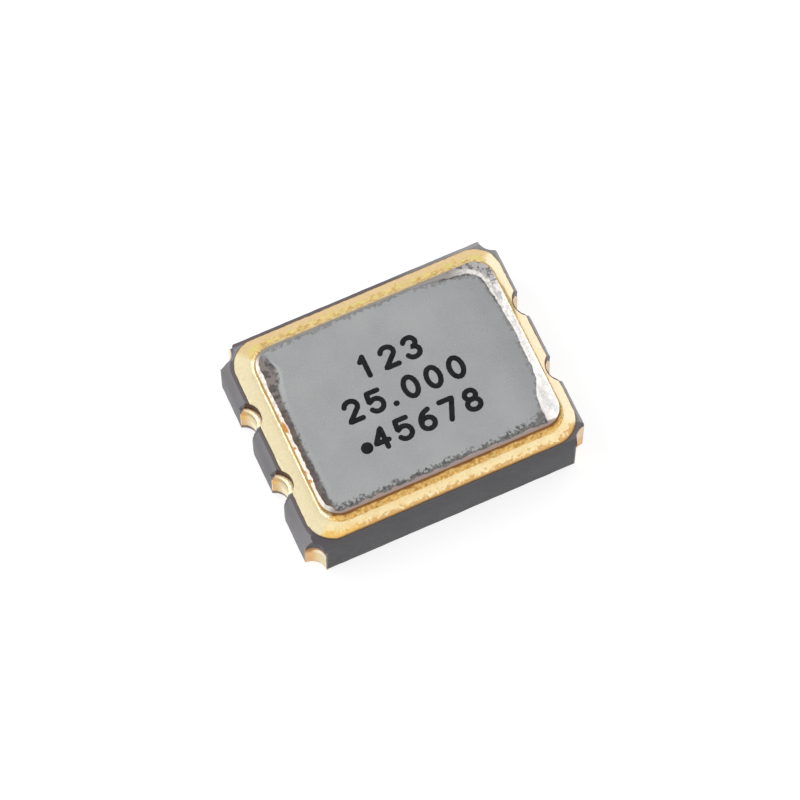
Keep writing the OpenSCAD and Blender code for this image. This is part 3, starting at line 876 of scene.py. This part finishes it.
colour = cover(
    colour,
    ("bright", grain, 0.35),
    ("leftPale", left, 0.85),
    ("rightPale", right, 0.85),
    ("backWarm", back, 0.8),
    ("torn", front, 0.75, torn),
    ("spot", back, 0.8, spotted),
    ("backYellow", back, 0.8, times(fade(waves, 0.35, 0.75), fade(inside, 0.05, 0.09))),
    ("backPink", back, 0.35, fade(inside, 0.08, 0.03)),
    ("golden", fade(x, -0.9, -1.15), fade(inside, 0.13, 0.04), front, fade(waves, 0.1, 0.6, 0.4, 0.9)),
    ("rolled", fade(inside, 0.022, 0.003), fade(x, -1.4, -1.1), front, 0.9),
    ("olive", fade(seam, -0.045, -0.03), right, fade(absolute(minus(y, 0.48)), 0.28, 0.14), 0.9),
    ("notchLine", fade(placeGroup("notchGaps")["side"], 0.016, 0.008), fade(x, 1.3, 1.4)),
)
plugIn(colour=colour, metallic=1.0, roughness=between(grain, 0.34, 0.5))
addBump(calc("ADD", grain, patches), 0.4, 0.002)
finishPiece(sealBand, sealGold, "seal_band", smooth=10)


# the braze rises from under the lid's edge in a few steps, narrower along the ends than along the sides
bead = {
    "ends": 0.03,
    "sides": 0.065,
    "rises": (0.003, 0.005, 0.008, 0.012, 0.016),
    "lump": 0.008,
    "cuts": 220,
}
brazeLow, brazeHigh = cadBox("seal_braze")
steps = len(bead["rises"])
wide = lidSize[1] + 2 * bead["sides"]
height = brazeLow.z + 0.002
sealBraze = addRoundedBlock("sealBraze", lidCentre, lidSize[0] + 2 * bead["ends"], wide,
                            brazeLow.z - 0.002, height, lidRadius + bead["ends"], 40)
pick(sealBraze, "EDGE", longEdge)
bpy.ops.mesh.subdivide(number_cuts=bead["cuts"])
pick(sealBraze, "FACE", topFace)
for rise in bead["rises"]:
    bpy.ops.mesh.inset(thickness=bead["ends"] / steps)
    after = wide - 2 * bead["sides"] / steps
    stretch = after / (wide - 2 * bead["ends"] / steps)
    bpy.ops.transform.resize(value=(1, stretch, 1), center_override=(*lidCentre, height))
    movePicked((0, 0, rise))
    wide, height = after, height + rise
bpy.ops.mesh.inset(thickness=0.003)
movePicked((0, 0, lidLow.z - sliver - height))
combine(sealBraze, addBandHole())
groupCorners(sealBraze, "top", lambda co: co.z > brazeLow.z + 0.001)
roughen(sealBraze, addNoise("lumps", 0.022), "NORMAL", bead["lump"], "top")

brazeFinish = {
    "deep": (0.42, 0.20, 0.04),
    "orange": (0.66, 0.37, 0.10),
    "bright": (0.86, 0.62, 0.24),
    "burnt": (0.27, 0.12, 0.04),
    "leftPale": (0.82, 0.74, 0.53),
    "backPale": (0.63, 0.52, 0.29),
    "leftLine": (0.40, 0.26, 0.11),
    "rightOlive": (0.40, 0.30, 0.11),
}
brazeAlloy = startMaterial("brazeAlloy", brazeFinish)
patches, grain = placeGrain(8.0, 30.0)
cell, dome = placeCrystals(30.0)
inside, front, back, left, right = placeGauge(lidOutline)
colour = mixTones(cell, "deep", "orange")
colour = cover(
    colour,
    ("bright", grain, 0.75),
    # painted highlight: the bead is paler along the left
    ("leftPale", left, 0.95),
    ("backPale", back, fade(cell, 0.1, 0.6, 0.3, 0.85)),
    ("rightOlive", right, fade(patches, 0.0, 0.3, 0.6, 1.0)),
    ("burnt", fade(scaled(patches, 0.012, inside), -0.012, 0.0), between(left, 1.0, 0.1)),
    ("leftLine", fade(scaled(patches, 0.006, inside), -0.015, -0.010), left),
)
plugIn(colour=colour, metallic=1.0, roughness=between(cell, 0.32, 0.52))
addBump(calc("ADD", grain, dome), 0.6, 0.003)
finishPiece(sealBraze, brazeAlloy, "seal_braze", smooth=60)


rim = {
    "front": 0.024, "back": 0.03, "left": 0.035, "right": 0.09,  # width of the welded bevel on each side
    "backAtRight": 0.08, "rightAtBack": 0.05, "rightAtFront": 0.11,  # how much wider it gets at these corners
    "growRight": (0.5, 1.15), "growBack": (0.2, 0.85), "growFront": (-0.35, -0.8),  # and from where to where
    "drop": 0.03,
    "innerRadius": 0.2,  # of the plain's corner at the back right
    "inset": 0.02,  # a first inset, which is then stretched to the widths above
    "flatEdge": 0.012,  # a flat strip that keeps the plain's shading clean
    "cuts": 40,
}


def smooth(value, start, end):
    share = min(1, max(0, (value - start) / (end - start)))
    return share * share * (3 - 2 * share)


lidPlate = addRoundedBlock("lidPlate", lidCentre, *lidSize, lidLow.z, lidHigh.z - rim["drop"], lidRadius, 24)
pick(lidPlate, "EDGE", longEdge)
bpy.ops.mesh.subdivide(number_cuts=rim["cuts"])
pick(lidPlate, "FACE", topFace)
bpy.ops.mesh.inset(thickness=rim["inset"])
inner = (lidSize[0] - rim["left"] - rim["right"], lidSize[1] - rim["front"] - rim["back"])
stretch = [after / (before - 2 * rim["inset"]) for after, before in zip(inner, lidSize)]
bpy.ops.transform.resize(value=(*stretch, 1), center_override=(*lidCentre, lidHigh.z - rim["drop"]))
shift = ((rim["left"] - rim["right"]) / 2, (rim["front"] - rim["back"]) / 2, rim["drop"])
movePicked(shift)
leaveEditing()
for corner in lidPlate.data.vertices:
    if near(corner.co.z, lidHigh.z):
        x, y = corner.co.x, corner.co.y
        wider = rim["rightAtBack"] * smooth(y, *rim["growBack"])
        wider += rim["rightAtFront"] * smooth(y, *rim["growFront"])
        centreX = lidHigh.x - rim["right"] - wider - rim["innerRadius"]
        wider = rim["backAtRight"] * smooth(x, *rim["growRight"])
        centreY = lidHigh.y - rim["back"] - wider - rim["innerRadius"]
        awayX, awayY = max(0, x - centreX), max(0, y - centreY)
        share = min(1, rim["innerRadius"] / max(0.001, math.hypot(awayX, awayY)))
        corner.co.x -= awayX * (1 - share)
        corner.co.y -= awayY * (1 - share)
cleanMesh(lidPlate, 0.001)
pick(lidPlate, "FACE", lambda centre, normal: normal.z > 0.999)
bpy.ops.mesh.inset(thickness=rim["flatEdge"])
leaveEditing()

lidFinish = {
    "dull": (0.274, 0.280, 0.284),
    "fair": (0.312, 0.317, 0.320),
    "glint": (0.39, 0.40, 0.40),
    "spark": (0.55, 0.55, 0.53),
    "stain": (0.055, 0.052, 0.052),
    "stainGrey": (0.15, 0.145, 0.14),
    "stainBrown": (0.10, 0.068, 0.055),
    "stainPale": (0.235, 0.20, 0.185),
    "stainWidth": {"front": 0.085, "back": 0.06, "left": 0.095, "right": 0.05},
    "stainRightCorner": 0.07,
    "stainLeftCorner": 0.12,  # how much wider the stain gets at the back left corner
    "stainShare": {"front": 0.9, "back": 0.5, "left": 0.95, "right": 0.4},
    "weldFrontShaded": (0.39, 0.30, 0.27),
    "weldBackShaded": (0.30, 0.28, 0.26),
    "weldLeftLit": (0.68, 0.62, 0.56),
    "weldRightLit": (0.64, 0.61, 0.58),
    "weldHighlight": (0.70, 0.68, 0.66),
    "weldGrey": (0.30, 0.285, 0.29),
    "weldStreak": (0.27, 0.275, 0.27),
    "chip": (0.45, 0.20, 0.05),
    "side": (0.42, 0.30, 0.19),
    "dimRight": 0.89,  # the brightness that the plain keeps next to the right weld
}


def bySide(sides, values):
    # one number from four, by the side of the lid that a point is nearest to
    total = 0.0
    for side, mask in zip(sideNames, sides):
        total = scaled(mask, values[side], total)
    return total


nickelLid = startMaterial("nickelLid", lidFinish)
patches, grain = placeGrain(1.8, 60.0)
waves, ripples = placeGrain(8.0, 24.0)
blotches = placeGrain(13.0, 40.0)[0]
streaks = placeGrain(14.0, 40.0, stretchY=0.3)[0]
cell, dome = placeCrystals(48.0)
inside, *sides = placeGauge(lidOutline)
front, back, left, right = sides
x, y, z = splitAxes()

# how far a point lies past the weld's inner edge, towards the plain
rightWidth = scaled(fade(y, *rim["growBack"]), rim["rightAtBack"], rim["right"])
rightWidth = scaled(fade(y, *rim["growFront"]), rim["rightAtFront"], rightWidth)
backWidth = scaled(fade(x, *rim["growRight"]), rim["backAtRight"], rim["back"])
legs = []
for axis, far, width in ((x, lidHigh.x, rightWidth), (y, lidHigh.y, backWidth)):
    reach = calc("ADD", calc("ADD", axis, width), rim["innerRadius"] - far)
    legs.append(calc("MAXIMUM", reach, 0.0))
past = minus(rim["innerRadius"], hypotenuse(*legs))
past = calc("MINIMUM", past, minus(inside, bySide(sides, rim)))
past = scaled(minus(waves, 0.5), -0.02, past)

# the plain
colour = mixTones(patches, "dull", "fair")
colour = cover(
    colour,
    ("glint", grain, 0.3),
    ("spark", fade(cell, 0.96, 0.99), fade(dome, 0.7, 0.95), 0.7),
)
colour = darken(colour, fade(x, 0.8, 1.32), lidFinish["dimRight"])

# the burnt stain that the weld left along it
leftCorner = times(left, fade(y, 0.35, 0.8))
rightCorner = times(front, fade(x, 0.75, 1.1), fade(y, -0.8, -0.88))
stainWidth = scaled(leftCorner, lidFinish["stainLeftCorner"], bySide(sides, lidFinish["stainWidth"]))
stainWidth = scaled(rightCorner, lidFinish["stainRightCorner"], stainWidth)
stain = placeStain(calc("MAXIMUM", past, 0.0), stainWidth, 24.0)
ragged = scaled(waves, 0.04, scaled(leftCorner, -0.08, past))
stain = calc("MAXIMUM", stain, times(left, fade(ragged, 0.1, 0.075)))
kept = scaled(times(front, fade(y, -0.87, -0.8)), -1.0, 1.0)
stain = times(stain, bySide(sides, lidFinish["stainShare"]), kept)
stainColour = mixTones(cell, "stain", "stainGrey")
stainColour = cover(
    stainColour,
    ("stainGrey", fade(waves, 0.5, 0.9, 0.0, 0.7)),
    ("stainBrown", left, fade(past, 0.06, 0.02), 0.8),
    ("stainPale", fade(blotches, 0.4, 0.85), fade(y, 0.1, 0.6, 0.25, 0.8), left),
)
colour = blendColour(stain, colour, stainColour)
glintLine = times(fade(ragged, 0.1, 0.115), fade(ragged, 0.16, 0.13))
colour = cover(colour, ("glint", glintLine, left, fade(y, 0.2, 0.6, 0.2, 0.75)))

# the weld itself: its own colour and tint, with the left and right bevels painted lighter as a highlight and
# the front and back ones darker as shade
weldColour = mixTones(fade(y, 0.1, -0.4), "weldRightLit", "weldHighlight")
greyBack = times(fade(past, -0.05, -0.075), fade(y, 0.55, 0.8), fade(x, 0.9, 1.1))
streaky = times(fade(inside, 0.016, 0.03), fade(past, -0.012, -0.022), fade(streaks, 0.25, 0.75))
chipPlace = times(fade(y, 0.35, 0.15), fade(y, -0.75, -0.5))
weldColour = cover(
    weldColour,
    ("weldLeftLit", left),
    ("weldFrontShaded", front, calc("MAXIMUM", fade(x, 1.26, 1.2), fade(y, -0.945, -0.965))),
    ("weldBackShaded", back, fade(x, 1.2, 0.95)),
    ("weldGrey", fade(ripples, 0.45, 0.8), fade(y, -0.3, 0.4, 0.2, 0.45)),
    ("weldStreak", streaky, right, fade(y, 0.0, 0.7, 0.3, 0.75)),
    ("weldGrey", greyBack, 0.8),
    ("stainGrey", greyBack, fade(ripples, 0.55, 0.8)),
    ("chip", left, chipPlace, fade(waves, 0.5, 0.62), fade(past, -0.01, -0.018)),
)
colour = blendColour(fade(past, 0.004, -0.004), colour, weldColour)
seam = times(fade(past, -0.016, -0.004), fade(past, 0.014, 0.004))
seam = times(seam, times(fade(x, 0.75, 0.95), fade(y, 0.3, 0.55)))
foot = lidHigh.z - rim["drop"]
colour = cover(
    colour,
    ("stain", seam, fade(ripples, 0.1, 0.6, 0.3, 0.85)),
    ("side", fade(z, foot + 0.001, foot - 0.004), between(left, 0.9, 0.2)),
)
plugIn(colour=colour, metallic=1.0, roughness=between(grain, 0.38, 0.5))
addBump(calc("ADD", grain, times(ripples, stain)), 0.35, 0.0015)
finishPiece(lidPlate, nickelLid, "lid")


marking = {
    "height": 0.28,
    "width": 0.2,
    "stroke": 0.058,
    "pitch": 0.26,
    "dotPitch": 0.55,  # share of the pitch that a dot takes
    "linePitch": 0.4,
    "offCentre": (-0.045, -0.03),
    "thickness": 0.004,
    "dotRadius": 0.065,
    "dotRise": 0.36,  # share of the height at which the round dot's centre stands
    "lines": ("123", "25.000", "*45678"),
    "wobble": 0.05,
}


def curvePoints(cx, cy, rx, ry, start, end):
    steps = 18
    angles = [math.radians(start + (end - start) * i / steps) for i in range(steps + 1)]
    return [(cx + rx * math.cos(angle), cy + ry * math.sin(angle)) for angle in angles]


# strokes of each digit in a box one wide and one high
digitStrokes = {
    "0": [curvePoints(0.5, 0.5, 0.5, 0.5, 90, 450)],
    "1": [[(0.5, 0), (0.5, 1)], [(0.5, 1), (0.2, 0.78)]],
    "2": [curvePoints(0.5, 0.72, 0.5, 0.28, 165, -35) + [(0, 0), (1, 0)]],
    "3": [curvePoints(0.47, 0.74, 0.46, 0.26, 160, -80) + curvePoints(0.5, 0.25, 0.5, 0.27, 80, -160)],
    "4": [[(0.74, 0), (0.74, 1), (0, 0.32), (1, 0.32)]],
    "5": [[(0.95, 1), (0.1, 1), (0.03, 0.58)] + curvePoints(0.48, 0.32, 0.52, 0.32, 140, -150)],
    "6": [[(0.85, 0.95)] + curvePoints(0.85, 0.3, 0.85, 0.62, 100, 180)
          + curvePoints(0.5, 0.29, 0.5, 0.29, 180, -180)],
    "7": [[(0, 1), (1, 1), (0.36, 0)]],
    "8": [curvePoints(0.5, 0.76, 0.42, 0.24, -90, 270), curvePoints(0.5, 0.27, 0.5, 0.27, 90, 450)],
}
roundEnd = (0.4, 0.7, 0.9, 0.985)  # where the rings of a stroke's round end stand, in radii past the line


def addStroke(points, radius):
    # a round-ended line along the points, in millimetres
    dense = []
    for (x0, y0), (x1, y1) in zip(points, points[1:]):
        count = max(1, round(math.hypot(x1 - x0, y1 - y0) / 0.006))
        dense += [(x0 + (x1 - x0) * i / count, y0 + (y1 - y0) * i / count) for i in range(count)]
    dense.append(points[-1])
    closed = math.dist(points[0], points[-1]) < 0.001
    if not closed:
        for end, other in ((0, 1), (-1, -2)):
            (x0, y0), (x1, y1) = dense[end], dense[other]
            gap = math.hypot(x1 - x0, y1 - y0)
            rings = [(x0 + (x0 - x1) / gap * radius * k, y0 + (y0 - y1) / gap * radius * k) for k in roundEnd]
            dense = rings[::-1] + dense if end == 0 else dense + rings
    curve = bpy.data.curves.new("stroke", "CURVE")
    curve.dimensions = "3D"
    curve.bevel_depth = marking["stroke"] / 2
    curve.bevel_resolution = 3
    curve.use_fill_caps = True
    line = curve.splines.new("POLY")
    if closed:
        dense = dense[:-1]
        line.use_cyclic_u = True
    line.points.add(len(dense) - 1)
    share = radius / curve.bevel_depth
    for i, (x, y) in enumerate(dense):
        line.points[i].co = (x, y, 0, 1)
        line.points[i].radius = share * (1 + random.uniform(-1, 1) * marking["wobble"])
    if not closed:
        for i, k in enumerate(reversed(roundEnd)):
            line.points[i].radius = line.points[len(dense) - 1 - i].radius = share * math.sqrt(1 - k * k)
    piece = bpy.data.objects.new("stroke", curve)
    bpy.context.scene.collection.objects.link(piece)
    return piece


strokes = []
half = marking["stroke"] / 2
wide, high = marking["width"] - 2 * half, marking["height"] - 2 * half
for row, text in enumerate(marking["lines"]):
    steps = [marking["pitch"] * (marking["dotPitch"] if sign in ".*" else 1) for sign in text]
    run = sum(steps[:-1]) + marking["width"]
    x = lidCentre[0] + marking["offCentre"][0] - run / 2
    y = lidCentre[1] + marking["offCentre"][1] + (1 - row) * marking["linePitch"] - marking["height"] / 2
    for sign, step in zip(text, steps):
        if sign == "*":
            spot = (x + marking["dotRadius"], y + marking["dotRise"] * marking["height"])
            strokes.append(addStroke([spot, (spot[0] + 0.004, spot[1] + 0.002)], marking["dotRadius"]))
        elif sign == ".":
            spot = (x + half, y + half)
            strokes.append(addStroke([spot, (spot[0] + 0.004, spot[1])], half * 1.1))
        else:
            for points in digitStrokes[sign]:
                placed = [(x + half + px * wide, y + half + py * high) for px, py in points]
                strokes.append(addStroke(placed, half))
        x += step
lidMarking = joinPieces(strokes)
lidMarking.name = "lidMarking"
makeActive(lidMarking)
bpy.ops.object.convert(target="MESH")
lidMarking = bpy.context.object
for corner in lidMarking.data.vertices:
    share = 0.9 if abs(corner.co.z) <= half * 1.06 else 0.4  # the round dot is flattened more
    corner.co.z = lidHigh.z + corner.co.z / half * marking["thickness"] * share
cleanMesh(lidMarking, 0.00002)

markFinish = {"black": (0.006, 0.007, 0.008), "worn": (0.018, 0.019, 0.022)}
markBlack = startMaterial("markBlack", markFinish)
patches, grain = placeGrain(9.0, 60.0)
colour = mixTones(grain, "black", "worn")
plugIn(colour=colour, specular=0.12, roughness=between(patches, 0.55, 0.8))
addBump(grain, 0.4, 0.001)
finishPiece(lidMarking, markBlack, "lid_marking", smooth=60)


# finishes of the pieces inside: darker and lighter tone, metallic, roughness from and to, bump in mm, nodes
wires = ["bond_wire_" + str(number) for number in range(1, 7)]
insideFinishes = {
    "cleanGold": {
        "dark": (0.70, 0.48, 0.18), "light": (0.90, 0.70, 0.34), "metallic": 1.0,
        "roughness": (0.26, 0.42), "bump": 0.0012,
        "nodes": ["die_pad", "bond_fingers", "crystal_pad_front", "crystal_pad_back"],
    },
    "drawnGold": {
        "dark": (0.82, 0.60, 0.22), "light": (0.95, 0.76, 0.36), "metallic": 1.0,
        "roughness": (0.14, 0.26), "bump": 0.0003,
        "nodes": wires,
    },
    "dieEpoxy": {
        "dark": (0.36, 0.36, 0.37), "light": (0.52, 0.52, 0.53), "metallic": 0.3,
        "roughness": (0.5, 0.75), "bump": 0.002,
        "nodes": ["die_attach"],
    },
    "padAluminium": {
        "dark": (0.66, 0.67, 0.69), "light": (0.84, 0.85, 0.86), "metallic": 1.0,
        "roughness": (0.2, 0.36), "bump": 0.0005,
        "nodes": ["die_contacts"],
    },
    "silverAdhesive": {
        "dark": (0.50, 0.51, 0.52), "light": (0.72, 0.73, 0.74), "metallic": 0.5,
        "roughness": (0.42, 0.68), "bump": 0.004,
        "nodes": ["adhesive_front", "adhesive_back"],
    },
    "silverFilm": {
        "dark": (0.74, 0.75, 0.76), "light": (0.88, 0.88, 0.87), "metallic": 1.0,
        "roughness": (0.16, 0.32), "bump": 0.0004,
        "nodes": ["lower_electrode", "upper_electrode"],
    },
}
for name, finish in insideFinishes.items():
    material = startMaterial(name, finish)
    patches, grain = placeGrain(6.0, 70.0)
    colour = cover(mixTones(patches, "dark", "light"), ("dark", grain, 0.4))
    rough = between(grain, *finish["roughness"])
    plugIn(colour=colour, metallic=finish["metallic"], roughness=rough)
    addBump(grain, 0.5, finish["bump"])
    for node in finish["nodes"]:
        wear(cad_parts[node], material)
    print("painted", name)

dieFinish = {
    "bare": (0.035, 0.045, 0.07),
    "blocks": (0.09, 0.12, 0.17),
    "tracks": (0.32, 0.28, 0.22),
    "border": 0.03,
}
siliconDie = startMaterial("siliconDie", dieFinish)
plugs = {"Vector": inMillimetres(), "Scale": 9.0, "Randomness": 0.85}
blocks = addNode("ShaderNodeTexVoronoi", plugs, distance="CHEBYCHEV").outputs["Color"]
block = addNode("ShaderNodeSeparateColor", {0: blocks}).outputs[0]
plugs = {"Vector": inMillimetres(), "Scale": 24.0}
lines = addNode("ShaderNodeTexWave", plugs, bands_direction="X").outputs["Fac"]
tracks = times(fade(lines, 0.7, 0.85), fade(block, 0.35, 0.4))
depth = placeGauge(outlineOf(*cadBox("oscillator_die"), 0.01))[0]
colour = mixTones(block, "bare", "blocks")
border = fade(depth, dieFinish["border"], dieFinish["border"] - 0.005)
colour = cover(colour, ("tracks", tracks, 0.7), ("bare", border))
plugIn(colour=colour, roughness=between(block, 0.12, 0.3))
addBump(tracks, 0.4, 0.0005)
wear(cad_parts["oscillator_die"], siliconDie)

quartzFinish = {"clear": (0.90, 0.94, 0.96), "etched": (0.97, 0.98, 0.98), "bevel": 0.03}
quartz = startMaterial("quartz", quartzFinish)
patches, grain = placeGrain(4.0, 60.0)
lapped = fade(placeGauge(outlineOf(*cadBox("quartz_blank"), 0.01))[0], quartzFinish["bevel"], 0.0)
colour = mixTones(calc("MAXIMUM", lapped, patches), "clear", "etched")
rough = scaled(lapped, 0.4, between(grain, 0.05, 0.16))
plugIn(colour=colour, roughness=rough, transmission=0.85, ior=1.54)
addBump(grain, 0.3, 0.0008)
wear(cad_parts["quartz_blank"], quartz)
print("painted the die and the quartz blank")
